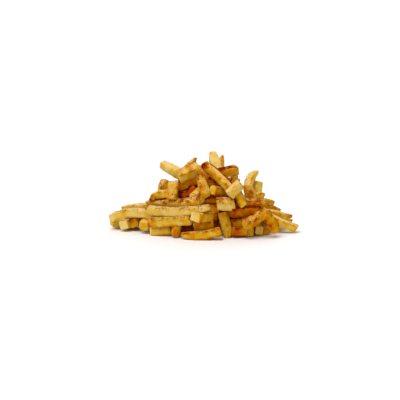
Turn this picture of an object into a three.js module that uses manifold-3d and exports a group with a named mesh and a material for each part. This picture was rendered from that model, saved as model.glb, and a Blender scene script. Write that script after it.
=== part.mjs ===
// A portion of straight-cut french fries, tipped out in a loose heap.
// Millimetres, +Z up. X runs to the right across the heap and Y away from the viewer,
// and the origin is where the middle of the view meets the table, under the heap.
import * as THREE from "three";
import { mergeVertices } from "three/addons/utils/BufferGeometryUtils.js";
import Module from "manifold-3d";

// The heap as a whole is half an egg: its half width, half depth and height, and the middle of its foot.
const MOUND = new THREE.Vector3(68, 44, 72);
const MOUND_MID = new THREE.Vector3(8, 0, 0);
// Behind its front the heap is lower. The solid core that carries the fries is this share of that.
const BEHIND = new THREE.Vector3(66, 45, 64);
const CORE_SHARE = 0.68;
const CORE_SIDES = 14;

// The viewer looks down on the heap by this angle, so a place in the view is told by how far across
// and how far up it lies, and how far into the view.
const SIGHT = THREE.MathUtils.degToRad(12);
const ACROSS = new THREE.Vector3(1, 0, 0);
const UP = new THREE.Vector3(0, Math.sin(SIGHT), Math.cos(SIGHT));
const INTO = new THREE.Vector3(0, Math.cos(SIGHT), -Math.sin(SIGHT));

// The fries that show from the front, furthest back first. A few of the first ones are hidden, and fill
// the crest behind the front. Each row has, for one end of the fry and then the other, how far across and
// up it lies; how far each end stands in front of the mound, where less than nothing is sunk in it; how far
// the fry is bent, up if it is more than nothing and the row runs right; its side; its roll in degrees; and
// the share of the side that is left at each end.
const IN_THE_HOLLOWS = [
  [-26, 38, -4, 34, -12, -14, 0, 9, 20, 1, 1],
  [-20, 30, -6, 41, -10, -10, 0, 8, 30, 1, 1],
  [-2, 52, 22, 47, -12, -14, 0, 9, 10, 1, 1],
  [-20, 49, 6, 53, -24, -26, 0, 9, 10, 1, 1],
  [-24, 46, 12, 51, -36, -38, 0, 9, -10, 1, 1],
  [14, 54, -6, 50, -30, -44, 0, 9, 20, 1, 1],
  [16, 49, 37, 45.5, -26, -20, 0, 9, -15, 1, 1],
  [22, 33, 48, 28, -34, -28, 0, 9, 15, 1, 1],
  [-30, 6, -4, 9, -16, -14, 0, 9, 0, 1, 1],
  [8, 12, 30, 10, -14, -14, 0, 9, 0, 1, 1],
  [20, 18, 36, 13, -10, -10, 0, 9, 0, 1, 1],
  [-80, 15, -38, 15, -14, -46, 0, 8.4, 10, 0.9, 1],
];
const ON_TOP = [
  [19.6, 74.6, 14, 46, -6, -12, 0, 6.5, 30, 0.35, 0.7],
  [9.5, 76.8, 16, 46, 0, -10, 0, 10.5, 0, 0.5, 0.9],
  [32, 54.5, 27.5, 36, -8, -10, 0, 7.5, 45, 0.8, 1],
  [13, 55, 33.8, 59.8, -6, 0, 0, 9.5, 10, 1, 0.95],
  [-41.2, 66, -12, 49, 0, -10, 0, 9.2, 15, 0.85, 1],
];
const RIGHT_SHOULDER = [
  [55, 48.5, 52, 26, -4, -12, 0, 9.5, 35, 0.85, 1],
  [49, 31, 61.8, 36, -8, -2, 0, 7.5, 0, 1, 0.25],
  [55.8, 58.5, 44.5, 38, 0, -4, -3.4, 7.7, 0, 0.25, 1],
  [44.5, 44, 53, 25, -2, -2, -1, 8.8, 0, 0.9, 0.9],
  [46, 27.8, 70.8, 26.8, -8, 0, 0.5, 6.5, 10, 1, 0.7],
  [54, 22, 76.4, 19.2, -8, 0, 0.5, 7, 10, 1, 0.8],
  [70, 11, 89, 7.5, -6, 0, 0, 6, 0, 1, 0.8],
  [53, 20.2, 89.5, 12.9, -14, -2, -1, 7.3, 15, 1, 0.4],
  [58, 17, 94, 1, -12, 11, -1.5, 8.5, 12, 1, 0.9],
];
const LEFT_SHOULDER = [
  [-37.6, 49, -41.2, 31, -2, -2, 0, 9.5, 35, 0.85, 1],
  [-48.8, 34.2, -33, 36.8, 0, -4, 0, 8, 15, 0.75, 1],
  [-31.2, 30.5, -29, 47.5, -2, -3, 0, 10.5, 5, 1, 0.95],
  [-26, 43, -2, 52, -6, -8, 0, 10, 0, 1, 1],
  [-23.5, 51, -6.8, 71.5, 2, 1, 0.6, 6, 0, 1, 0.3],
  [-25, 52, -4, 61.5, 2, 0, 0, 12, 25, 1, 0.85],
];
const IN_THE_MIDDLE = [
  [-5, 62, 3, 51, 0, 0, 0, 5.5, 0, 0.8, 0.9],
  [2, 46, 14, 45, -6, -6, 0, 8, 0, 1, 1],
  [5, 44, -11, 30.5, -2, -2, 0, 8.5, -15, 1, 0.9],
  [-3, 52, 3.5, 34, 0, 0, 0, 8.5, 20, 0.8, 1],
  [1.2, 64.4, 26.8, 40.5, 3, 3, 1, 9, 22, 0.9, 1],
  [9, 39.6, 25, 36.5, 7, -14, 0, 9.3, 8, 0.9, 1],
  [33.5, 38, 39.5, 23.5, 0, 0, 0, 8.2, 40, 1, 0.9],
  [25.5, 34.6, 36.8, 46, 4, 4, 0, 10, 15, 1, 0.9],
  [38, 27, 60, 26, -6, -4, 0, 9, 25, 1, 1],
  [27, 17.5, 56, 20, -6, -4, 0, 9, 8, 1, 1],
  [-2, 30, 14, 31, -2, -2, 0, 8.5, 25, 1, 1],
  [1, 24, 16, 21, -6, -6, 0, 8, 10, 1, 1],
];
const UNDER_THE_LONG_ONES = [
  [-92.6, 6.2, -78, 6, 0, -6, 0, 9, 10, 0.7, 1],
  [-69.8, 6.2, -60, 11, 2, -30, 0, 9.2, -20, 1, 1],
  [-79.8, 4.2, -71, 6.2, 8, -16, 0, 9.5, -14, 0.95, 1],
  [-59.5, 3.2, -50, 11, 2, -34, 0, 11, 6, 0.9, 1],
];
const LONG_ON_THE_LEFT = [
  [-82, 21.2, -40, 22.8, -4, -10, 0.5, 7.2, 10, 0.35, 1],
  [-57, 27.3, -1, 30, 6, 3, -2.8, 8, 28, 0.35, 1],
  [-93.8, 10.6, -41, 10.6, 0, -8, 6.8, 8.8, 12, 0.9, 1],
  [-55, 20, 6, 22.5, 4, 2, -3, 8.5, 10, 1, 0.6],
];
const AT_THE_FOOT = [
  [-52, 7.5, -12, 10.5, 6, 0, 0, 9.5, 12, 1, 1],
  [-52, -1.2, -32, -0.2, 2, -10, 0, 9.2, 0, 1, 1],
  [1, 15, 15, 13, -12, -8, 0, 8, 0, 1, 1],
  [28, 6, 46, 7.5, -8, -6, 0, 9.5, 0, 1, 1],
  [29, -1.5, 44, -1, -6, -4, 0, 8.5, 0, 1, 1],
  [62.8, -2, 59.5, 5, 0, -30, 0, 8, 0, 1, 1],
  [46, -2, 40, 6, 2, -34, 0, 10, 0, 0.9, 1],
  [56, -1, 52, 6, 0, -34, 0, 9.3, 0, 0.95, 1],
  [59.5, 16.5, 40, 5.5, 0, 0, 1.5, 9.5, -28, 1, 1],
  [59, 15.5, 71, -2, 2, 2, 3, 9.5, 15, 1, 0.85],
  [13.5, 26, 30.8, 25.5, 6, 6, 0, 10.8, 25, 1, 1],
  [-8, 12.6, 7, 13.4, 10, -12, 0, 9.8, 6, 1, 1],
  [-9, 3.8, 10, 5.2, 0, -4, 0, 10.5, 8, 1, 0.95],
  [-22, -4.8, 17.5, -1.2, 2, 2, -2.2, 8.6, 0, 0.4, 1],
  [-25.5, 5, -28, -6.5, 0, 2, 0, 7.5, 0, 0.9, 0.7],
  [19.8, 17, 25.2, -7.3, -4, -4, 0, 8.6, 12, 1, 0.6],
];
const SHOWN = [
  ...IN_THE_HOLLOWS,
  ...ON_TOP,
  ...RIGHT_SHOULDER,
  ...LEFT_SHOULDER,
  ...IN_THE_MIDDLE,
  ...UNDER_THE_LONG_ONES,
  ...LONG_ON_THE_LEFT,
  ...AT_THE_FOOT,
];

// A fry narrows to its ends over this share of its length.
const TAPER = 0.35;
const TAPER_POWER = 0.7;
// For laying them, a fry is a row of balls as thick as it is. Two fries touch where their balls come
// closer than this share of their radii: the shown ones hardly press into each other, the rest do more.
const BALLS_PER_SIDE = 1.8;
const BALL_INSET = 0.42;
const PRESSED = 0.88;
const LOOSE_PRESSED = 0.78;
// Of two shown fries, the one named later is in front, unless it starts this far behind the other.
// Where they cross in the view by less than the share, whichever starts in front stays there.
const START_BEHIND = 3;
const CROSSING = 0.65;
const SETTLING_ROUNDS = 80;
const SETTLING_SHARE = 0.4;

// The fries behind and inside the heap lie along layers of the mound, from the foot of each layer to its
// top. A fry that would have to be moved out further than this finds no room.
const LAYERS = [0.82, 1];
const TRIES_PER_LAYER = 400;
const MOST_MOVED = 14;
const SUNK = 6;
const GOLDEN = (Math.sqrt(5) - 1) / 2;
const BEHIND_FROM = THREE.MathUtils.degToRad(-25);
const BEHIND_TURN = THREE.MathUtils.degToRad(230);
const LOWEST_RISE = 0.04;
const RISE_POWER = 1.1;
const LOOSE_SWING = 1.1;
const LOOSE_LENGTH = [44, 68];
const SHORTER = 0.45;
const LOOSE_SIDE = [7.5, 9.8];
const LOOSE_ROLL = 45;
const LOOSE_BEND = 3;
const LOOSE_TIPS = [0.75, 0.5];
// None of them stands above the shown fries that are this near across the view, nor shows in the places
// where one looks through between those: each is so far across, so far up, and has this radius.
const SKYLINE_REACH = 5;
const BELOW_SKYLINE = 0.5;
const SEEN_THROUGH = [
  [-79, 11, 2.5],
  [-38, 54.5, 3.5],
  [-31, 53.5, 2],
  [22.5, 66, 3],
  [26, 52, 2.5],
  [39.5, 39, 2],
];
// Laying stops when the fry would move by less than this.
const CLEAR = 0.05;
const LAYING_PASSES = 3;

// Pseudo-random numbers, the same each time: a linear congruential generator with the usual constants.
let randomState = 7;
function random(low, high) {
  randomState = (randomState * 1664525 + 1013904223) % 4294967296;
  return low + ((high - low) * randomState) / 4294967296;
}

function inView(across, up, into) {
  return new THREE.Vector3()
    .addScaledVector(ACROSS, across)
    .addScaledVector(UP, up)
    .addScaledVector(INTO, into);
}

// How far into the view the near side of the mound is. Beside the mound it is where the line of sight
// passes it closest.
function moundDepth(across, up) {
  const from = inView(across, up, 0).sub(MOUND_MID).divide(MOUND);
  const along = INTO.clone().divide(MOUND);
  const a = along.dot(along);
  const b = 2 * from.dot(along);
  const c = from.dot(from) - 1;
  return (-b - Math.sqrt(Math.max(0, b * b - 4 * a * c))) / (2 * a);
}

// The share of its side that a fry has at t, from 0 at one end to 1 at the other.
function girth(fry, t) {
  const nearOne = Math.min(1, t / TAPER) ** TAPER_POWER;
  const nearTwo = Math.min(1, (1 - t) / TAPER) ** TAPER_POWER;
  return Math.min(
    fry.tips[0] + (1 - fry.tips[0]) * nearOne,
    fry.tips[1] + (1 - fry.tips[1]) * nearTwo,
  );
}

function middleLine(fry, t) {
  return fry.a.clone().lerp(fry.b, t).addScaledVector(fry.bow, 4 * t * (1 - t));
}

function balls(fry) {
  const length = fry.a.distanceTo(fry.b);
  const count = Math.max(3, Math.round((BALLS_PER_SIDE * length) / fry.side));
  const inset = (BALL_INSET * fry.side) / length;
  return Array.from({ length: count }, (_, k) => {
    const t = inset + ((1 - 2 * inset) * k) / (count - 1);
    return { at: middleLine(fry, t), radius: 0.5 * fry.side * girth(fry, t) };
  });
}

function moveFry(fry, direction, distance) {
  fry.a.addScaledVector(direction, distance);
  fry.b.addScaledVector(direction, distance);
}

function shownFry([x1, up1, x2, up2, proud1, proud2, bend, side, roll, tip1, tip2]) {
  const run = Math.hypot(x2 - x1, up2 - up1);
  return {
    a: inView(x1, up1, moundDepth(x1, up1) - proud1),
    b: inView(x2, up2, moundDepth(x2, up2) - proud2),
    bow: inView((-(up2 - up1) / run) * bend, ((x2 - x1) / run) * bend, 0),
    side,
    roll: THREE.MathUtils.degToRad(roll),
    tips: [tip1, tip2],
  };
}

// How the balls of two fries meet along a direction: for each pair that would touch as one slides past
// the other, how far ahead the second is, and how far apart they have to be.
function meetings(ballsOne, ballsTwo, direction, pressed) {
  const found = [];
  for (const one of ballsOne)
    for (const two of ballsTwo) {
      const between = two.at.clone().sub(one.at);
      const ahead = between.dot(direction);
      const aside = between.lengthSq() - ahead * ahead;
      const room = (pressed * (one.radius + two.radius)) ** 2 - aside;
      if (room > 0) found.push({ ahead, apart: Math.sqrt(room) });
    }
  return found;
}

// The shown fries slide along the line of sight, so that they keep their place in the view, until none
// passes through another or through the table.
function settle(fries) {
  const rows = fries.map(balls);
  const deepest = rows.map((row) =>
    Math.min(...row.map(({ at, radius }) => (at.z - radius) / Math.sin(SIGHT))),
  );
  const thickness = rows.map(
    (row) => row.reduce((sum, { radius }) => sum + radius, 0) / row.length,
  );
  const pairs = [];
  fries.forEach((_, i) => {
    for (let j = i + 1; j < fries.length; j++) {
      const met = meetings(rows[i], rows[j], INTO, PRESSED);
      if (!met.length) continue;
      const ahead = met.reduce((sum, m) => sum + m.ahead, 0) / met.length;
      const crossing = Math.max(...met.map((m) => m.apart)) / (thickness[i] + thickness[j]);
      const side = ahead < (crossing > CROSSING ? START_BEHIND : 0) ? -1 : 1;
      pairs.push({ i, j, met, side });
    }
  });
  const slide = deepest.map((most) => Math.min(0, most));
  for (let round = 0; round < SETTLING_ROUNDS; round++) {
    for (const { i, j, met, side } of pairs) {
      const short = Math.max(
        ...met.map((m) => m.apart - side * (m.ahead + slide[j] - slide[i])),
      );
      if (short <= 0) continue;
      slide[i] -= side * short * SETTLING_SHARE;
      slide[j] += side * short * SETTLING_SHARE;
    }
    slide.forEach((s, k) => (slide[k] = Math.min(s, deepest[k])));
  }
  fries.forEach((fry, k) => moveFry(fry, INTO, slide[k]));
}

// A fry laid along one layer of the mound, on the side that faces away from the viewer.
function looseFry(layer, turn, height) {
  const around = BEHIND_FROM + BEHIND_TURN * turn;
  const rise = Math.asin(LOWEST_RISE + (1 - LOWEST_RISE) * height ** RISE_POWER);
  const unit = new THREE.Vector3(
    Math.cos(around) * Math.cos(rise),
    Math.sin(around) * Math.cos(rise),
    Math.sin(rise),
  );
  const out = unit.clone().divide(BEHIND).normalize();
  const level = new THREE.Vector3(-out.y, out.x, 0).normalize();
  const steep = out.clone().cross(level);
  const swing = random(-LOOSE_SWING, LOOSE_SWING);
  const along = level.multiplyScalar(Math.cos(swing)).addScaledVector(steep, Math.sin(swing));
  const length = random(...LOOSE_LENGTH) * (1 - SHORTER * height);
  const side = random(...LOOSE_SIDE);
  const roll = THREE.MathUtils.degToRad(random(-LOOSE_ROLL, LOOSE_ROLL));
  const bend = random(-LOOSE_BEND, LOOSE_BEND);
  const tips = LOOSE_TIPS.map((least) => random(least, 1));
  const middle = unit.multiply(BEHIND).multiplyScalar(layer).add(MOUND_MID);
  middle.addScaledVector(out, -(side / 2 + SUNK));
  return {
    a: middle.clone().addScaledVector(along, -length / 2),
    b: middle.clone().addScaledVector(along, length / 2),
    bow: along.clone().cross(out).multiplyScalar(bend),
    side,
    roll,
    tips,
    out,
  };
}

// Moves a loose fry outwards until it clears what is laid already, and tells how far it went.
function layOn(fry, laid) {
  let moved = 0;
  for (let pass = 0; pass < LAYING_PASSES; pass++) {
    fry.a.z = Math.max(fry.a.z, fry.side / 2);
    fry.b.z = Math.max(fry.b.z, fry.side / 2);
    const met = meetings(balls(fry), laid, fry.out, LOOSE_PRESSED);
    const more = Math.max(0, ...met.map((m) => m.ahead + m.apart));
    if (more < CLEAR) break;
    moved += more;
    moveFry(fry, fry.out, more);
  }
  return moved;
}

// The top of the shown fries in the view, near a place across it.
function skyline(shownBalls, across) {
  const near = shownBalls.filter(({ at }) => Math.abs(at.x - across) < SKYLINE_REACH);
  return Math.max(-Infinity, ...near.map(({ at, radius }) => at.dot(UP) + radius));
}

// Whether a loose fry would show where it shouldn't.
function showsWrongly(row, shownBalls) {
  return row.some(({ at, radius }) => {
    const up = at.dot(UP);
    const over = up + radius > skyline(shownBalls, at.x) - BELOW_SKYLINE;
    return over || SEEN_THROUGH.some(([x, y, gap]) => Math.hypot(at.x - x, up - y) < radius + gap);
  });
}

function layTheRest(shown) {
  const shownBalls = shown.flatMap(balls);
  const laid = [...shownBalls];
  const rest = [];
  for (let k = 0; k < TRIES_PER_LAYER * LAYERS.length; k++) {
    const layer = LAYERS[Math.floor(k / TRIES_PER_LAYER)];
    const height = (k % TRIES_PER_LAYER) / TRIES_PER_LAYER;
    const fry = looseFry(layer, (k * GOLDEN) % 1, height);
    if (layOn(fry, laid) > MOST_MOVED) continue;
    const row = balls(fry);
    if (showsWrongly(row, shownBalls)) continue;
    laid.push(...row);
    rest.push(fry);
  }
  return rest;
}

// A square, one across, to be drawn out into a fry. The fries that show from the front have its corners
// cut off, the others are left plain.
const CORNER = 0.16;
function section(corner) {
  const half = 0.5;
  const flat = half - corner;
  const points = [
    new THREE.Vector2(half, -flat),
    new THREE.Vector2(half, flat),
    new THREE.Vector2(flat, half),
    new THREE.Vector2(-flat, half),
    new THREE.Vector2(-half, flat),
    new THREE.Vector2(-half, -flat),
    new THREE.Vector2(-flat, -half),
    new THREE.Vector2(flat, -half),
  ];
  return new THREE.Shape(corner > 0 ? points : points.filter((_, k) => k % 2 === 1));
}

// The ends are rounded over: the last ring is this much smaller, and this share of the side long.
const END_RING = 0.8;
const END_LENGTH = 0.12;
function fryGeometry(fry, corner) {
  const inset = (END_LENGTH * fry.side) / fry.a.distanceTo(fry.b);
  const stations = [0, inset, 0.5, 1 - inset, 1];
  const steps = stations.length - 1;
  const geometry = new THREE.ExtrudeGeometry(section(corner), { depth: 1, steps, bevelEnabled: false });
  const along = fry.b.clone().sub(fry.a).normalize();
  const level = along.clone().cross(new THREE.Vector3(0, 0, 1)).normalize();
  const wide = level.clone().applyAxisAngle(along, fry.roll);
  const tall = along.clone().cross(wide);
  const position = geometry.getAttribute("position");
  for (let k = 0; k < position.count; k++) {
    const station = Math.round(position.getZ(k) * steps);
    const t = stations[station];
    const ends = station === 0 || station === steps ? END_RING : 1;
    const size = fry.side * girth(fry, t) * ends;
    const point = middleLine(fry, t)
      .addScaledVector(wide, position.getX(k) * size)
      .addScaledVector(tall, position.getY(k) * size);
    position.setXYZ(k, point.x, point.y, point.z);
  }
  return geometry;
}

function coreGeometry() {
  const size = BEHIND.clone().multiplyScalar(CORE_SHARE);
  return new THREE.SphereGeometry(1, CORE_SIDES, CORE_SIDES / 2)
    .rotateX(Math.PI / 2)
    .scale(size.x, size.y, size.z)
    .translate(MOUND_MID.x, MOUND_MID.y, MOUND_MID.z);
}

const wasm = await Module();
wasm.setup();

const SAME_VERTEX = 1e-4;
function toSolid(geometry) {
  geometry.deleteAttribute("normal");
  geometry.deleteAttribute("uv");
  const merged = mergeVertices(geometry, SAME_VERTEX);
  return new wasm.Manifold(
    new wasm.Mesh({
      numProp: 3,
      vertProperties: merged.getAttribute("position").array,
      triVerts: new Uint32Array(merged.index.array),
    }),
  );
}

function toGeometry(solid) {
  const { vertProperties, triVerts } = solid.getMesh();
  const geometry = new THREE.BufferGeometry();
  geometry.setAttribute("position", new THREE.BufferAttribute(vertProperties, 3));
  geometry.setIndex(new THREE.BufferAttribute(triVerts, 1));
  geometry.computeVertexNormals();
  return geometry;
}

const shown = SHOWN.map(shownFry);
settle(shown);
const loose = layTheRest(shown);

// Core and fries become one solid that is cut off flat at the table. Of what comes out, the largest piece
// is the heap: a scrap that touches nothing is left out, and a sealed hollow is filled.
const parts = [
  coreGeometry(),
  ...shown.map((fry) => fryGeometry(fry, CORNER)),
  ...loose.map((fry) => fryGeometry(fry, 0)),
];
const fused = wasm.Manifold.union(parts.map(toSolid));
const onTable = fused.trimByPlane([0, 0, 1], 0);
const heap = onTable.decompose().reduce((a, b) => (b.volume() > a.volume() ? b : a));

const friesMesh = new THREE.Mesh(
  toGeometry(heap),
  new THREE.MeshStandardMaterial({ color: "#dba548", roughness: 0.55, metalness: 0 }),
);
friesMesh.name = "fries";

const group = new THREE.Group();
group.add(friesMesh);

export default group;
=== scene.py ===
# %% [markdown]
# # A portion of french fries
#
# This lesson builds a loose heap of straight-cut fries, with a dusting of seasoning, the way it lies after
# it has been tipped out on a table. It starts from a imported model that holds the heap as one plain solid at
# its true size. Everything made here lies in that solid's frame, in metres: X to the right across the heap,
# Y away from the viewer and Z up. The solid is then replaced by fries that are modelled one by one.

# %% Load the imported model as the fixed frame
import math
from dataclasses import dataclass

import bpy
import numpy as np
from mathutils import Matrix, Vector, noise
from mathutils.bvhtree import BVHTree


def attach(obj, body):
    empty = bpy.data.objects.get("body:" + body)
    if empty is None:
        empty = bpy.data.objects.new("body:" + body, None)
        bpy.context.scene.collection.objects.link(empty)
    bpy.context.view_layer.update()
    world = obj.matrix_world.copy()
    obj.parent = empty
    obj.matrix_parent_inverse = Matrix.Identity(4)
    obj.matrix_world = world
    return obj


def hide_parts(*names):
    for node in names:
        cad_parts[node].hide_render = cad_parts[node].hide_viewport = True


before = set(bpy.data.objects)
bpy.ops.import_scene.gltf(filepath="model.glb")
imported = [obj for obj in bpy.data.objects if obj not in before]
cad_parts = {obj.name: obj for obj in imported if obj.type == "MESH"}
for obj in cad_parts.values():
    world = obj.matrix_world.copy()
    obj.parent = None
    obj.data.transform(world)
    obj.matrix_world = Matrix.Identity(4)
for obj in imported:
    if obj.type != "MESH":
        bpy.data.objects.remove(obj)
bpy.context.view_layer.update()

# %% [markdown]
# ## Places in the view
#
# A fry in a heap is easiest to place the way we see it: so far across, so far up, and so far into the view.
# The viewer looks down on the heap by 12 degrees. The three directions below turn such a place into a point
# of the frame. The layout is worked in millimetres, because a fry is some 9 of them thick, and only the
# finished meshes are turned into metres.

# %% The three directions of the view
MM = 0.001
SIGHT = math.radians(12)
ACROSS = np.array([1.0, 0.0, 0.0])
UP = np.array([0.0, math.sin(SIGHT), math.cos(SIGHT)])
INTO = np.array([0.0, math.cos(SIGHT), -math.sin(SIGHT)])


def in_view(across, up, into):
    return ACROSS * across + UP * up + INTO * into


print("a fry at (0, 50) in the view, 10 mm in, lies at", in_view(0, 50, 10).round(1))


# %% [markdown]
# ## The mound
#
# Seen as a whole the heap is half an egg, standing on the table. The fries that show from the front lie
# against it, each end so far in front of it or sunk in it. A line of sight meets the egg where a quadratic
# equation has its nearer root. Beside the egg there is no root, and the closest place on the line is taken.

# %% The mound and how deep it lies along a line of sight
MOUND = np.array([68.0, 44.0, 72.0])
MOUND_MID = np.array([8.0, 0.0, 0.0])
BEHIND = np.array([66.0, 45.0, 64.0])
CORE_SHARE = 0.68


def mound_depth(across, up):
    """How far into the view the line of sight at that place meets the mound."""
    start = (in_view(across, up, 0) - MOUND_MID) / MOUND
    along = INTO / MOUND
    a = along @ along
    b = 2 * start @ along
    c = start @ start - 1
    return (-b - math.sqrt(max(0.0, b * b - 4 * a * c))) / (2 * a)


print("the mound is", 2 * MOUND[0], "mm across and", MOUND[2], "mm high")


# %% [markdown]
# ## The fries that show from the front
#
# These are placed one by one, furthest back first, because the eye knows them. A row gives, for one end and
# then the other, how far across and up it lies; how far each end stands in front of the mound; the bend; the
# side of the square that the fry was cut to; its roll in degrees; and the share of the side left at each end,
# as some narrow to a point. Then come the looks: how browned it is, from 0 for pale to 1 for brown, and how
# much seasoning fell on it. Words at the end name spots that are burnt, or a start end that is made paler.

# %% In the hollows, on top and on the right shoulder
IN_THE_HOLLOWS = [
    [-26, 38, -4, 34, -12, -14, 0, 9, 20, 1, 1, 0.76, 0.2],
    [-20, 30, -6, 41, -10, -10, 0, 8, 30, 1, 1, 0.74, 0.2],
    [-2, 52, 22, 47, -12, -14, 0, 9, 10, 1, 1, 0.66, 0.1],
    [-20, 49, 6, 53, -24, -26, 0, 9, 10, 1, 1, 0.5, 0.5],
    [-24, 46, 12, 51, -36, -38, 0, 9, -10, 1, 1, 0.4, 0.6],
    [14, 54, -6, 50, -30, -44, 0, 9, 20, 1, 1, 0.45, 0.6],
    [16, 49, 37, 45.5, -26, -20, 0, 9, -15, 1, 1, 0.42, 0.5],
    [22, 33, 48, 28, -34, -28, 0, 9, 15, 1, 1, 0.5, 0.5],
    [-30, 6, -4, 9, -16, -14, 0, 9, 0, 1, 1, 0.86, 0],
    [8, 12, 30, 10, -14, -14, 0, 9, 0, 1, 1, 0.8, 0],
    [20, 18, 36, 13, -10, -10, 0, 9, 0, 1, 1, 0.76, 0],
    [-80, 15, -38, 15, -14, -46, 0, 8.4, 10, 0.9, 1, 0.45, 0],
]
ON_TOP = [
    [19.6, 74.6, 14, 46, -6, -12, 0, 6.5, 30, 0.35, 0.7, 0.44, 0],
    [9.5, 76.8, 16, 46, 0, -10, 0, 10.5, 0, 0.5, 0.9, 0.1, 0],
    [32, 54.5, 27.5, 36, -8, -10, 0, 7.5, 45, 0.8, 1, 0.32, 0],
    [13, 55, 33.8, 59.8, -6, 0, 0, 9.5, 10, 1, 0.95, 0.36, 0.2, "crisp top"],
    [-41.2, 66, -12, 49, 0, -10, 0, 9.2, 15, 0.85, 1, 0.1, 0],
]
RIGHT_SHOULDER = [
    [55, 48.5, 52, 26, -4, -12, 0, 9.5, 35, 0.85, 1, 0.2, 0],
    [49, 31, 61.8, 36, -8, -2, 0, 7.5, 0, 1, 0.25, 0.3, 0.1],
    [55.8, 58.5, 44.5, 38, 0, -4, -3.4, 7.7, 0, 0.25, 1, 0.15, 0.1],
    [44.5, 44, 53, 25, -2, -2, -1, 8.8, 0, 0.9, 0.9, 0.42, 1],
    [46, 27.8, 70.8, 26.8, -8, 0, 0.5, 6.5, 10, 1, 0.7, 0.3, 0.5],
    [54, 22, 76.4, 19.2, -8, 0, 0.5, 7, 10, 1, 0.8, 0.36, 0.3],
    [70, 11, 89, 7.5, -6, 0, 0, 6, 0, 1, 0.8, 0.26, 0.1],
    [53, 20.2, 89.5, 12.9, -14, -2, -1, 7.3, 15, 1, 0.4, 0.25, 0.4, "toasted end"],
    [58, 17, 94, 1, -12, 11, -1.5, 8.5, 12, 1, 0.9, 0.24, 0.2],
]
print(len(IN_THE_HOLLOWS) + len(ON_TOP) + len(RIGHT_SHOULDER), "fries in the first three groups")

# %% On the left shoulder and in the middle
LEFT_SHOULDER = [
    [-37.6, 49, -41.2, 31, -2, -2, 0, 9.5, 35, 0.85, 1, 0.32, 1],
    [-48.8, 34.2, -33, 36.8, 0, -4, 0, 8, 15, 0.75, 1, 0.32, 0.3],
    [-31.2, 30.5, -29, 47.5, -2, -3, 0, 10.5, 5, 1, 0.95, 0.34, 0.5],
    [-26, 43, -2, 52, -6, -8, 0, 10, 0, 1, 1, 0.62, 0.3],
    [-23.5, 51, -6.8, 71.5, 2, 1, 0.6, 6, 0, 1, 0.3, 0.28, 0.9, "toasted end"],
    [-25, 52, -4, 61.5, 2, 0, 0, 12, 25, 1, 0.85, 0.27, 0.3],
]
IN_THE_MIDDLE = [
    [-5, 62, 3, 51, 0, 0, 0, 5.5, 0, 0.8, 0.9, 0.5, 1],
    [2, 46, 14, 45, -6, -6, 0, 8, 0, 1, 1, 0.6, 0.2],
    [5, 44, -11, 30.5, -2, -2, 0, 8.5, -15, 1, 0.9, 0.34, 0.2],
    [-3, 52, 3.5, 34, 0, 0, 0, 8.5, 20, 0.8, 1, 0.36, 0.6],
    [1.2, 64.4, 26.8, 40.5, 3, 3, 1, 9, 22, 0.9, 1, 0.34, 0.15, "burnt start", "top crease"],
    [9, 39.6, 25, 36.5, 7, -14, 0, 9.3, 8, 0.9, 1, 0.55, 0.2, "pale start"],
    [33.5, 38, 39.5, 23.5, 0, 0, 0, 8.2, 40, 1, 0.9, 0.26, 0.1],
    [25.5, 34.6, 36.8, 46, 4, 4, 0, 10, 15, 1, 0.9, 0.14, 0.4, "top crease"],
    [38, 27, 60, 26, -6, -4, 0, 9, 25, 1, 1, 0.42, 1.5, "crease"],
    [27, 17.5, 56, 20, -6, -4, 0, 9, 8, 1, 1, 0.62, 0.6, "crisp top"],
    [-2, 30, 14, 31, -2, -2, 0, 8.5, 25, 1, 1, 0.54, 2.5, "crease"],
    [1, 24, 16, 21, -6, -6, 0, 8, 10, 1, 1, 0.55, 0.3],
]
print(len(LEFT_SHOULDER) + len(IN_THE_MIDDLE), "fries on the left shoulder and in the middle")

# %% The long ones, what lies under them, and the foot
UNDER_THE_LONG_ONES = [
    [-92.6, 6.2, -78, 6, 0, -6, 0, 9, 10, 0.7, 1, 0.1, 0],
    [-69.8, 6.2, -60, 11, 2, -30, 0, 9.2, -20, 1, 1, 0.42, 0],
    [-79.8, 4.2, -71, 6.2, 8, -16, 0, 9.5, -14, 0.95, 1, 0.3, 0, "pale start"],
    [-59.5, 3.2, -50, 11, 2, -34, 0, 11, 6, 0.9, 1, 0.3, 0.1],
]
LONG_ON_THE_LEFT = [
    [-82, 21.2, -40, 22.8, -4, -10, 0.5, 7.2, 10, 0.35, 1, 0.12, 0.4],
    [-57, 27.3, -1, 30, 6, 3, -2.8, 8, 28, 0.35, 1, 0.25, 1.8],
    [-93.8, 10.6, -41, 10.6, 0, -8, 6.8, 8.8, 12, 0.9, 1, 0.1, 0.6],
    [-55, 20, 6, 22.5, 4, 2, -3, 8.5, 10, 1, 0.6, 0.08, 0.9, "back crease"],
]
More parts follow.
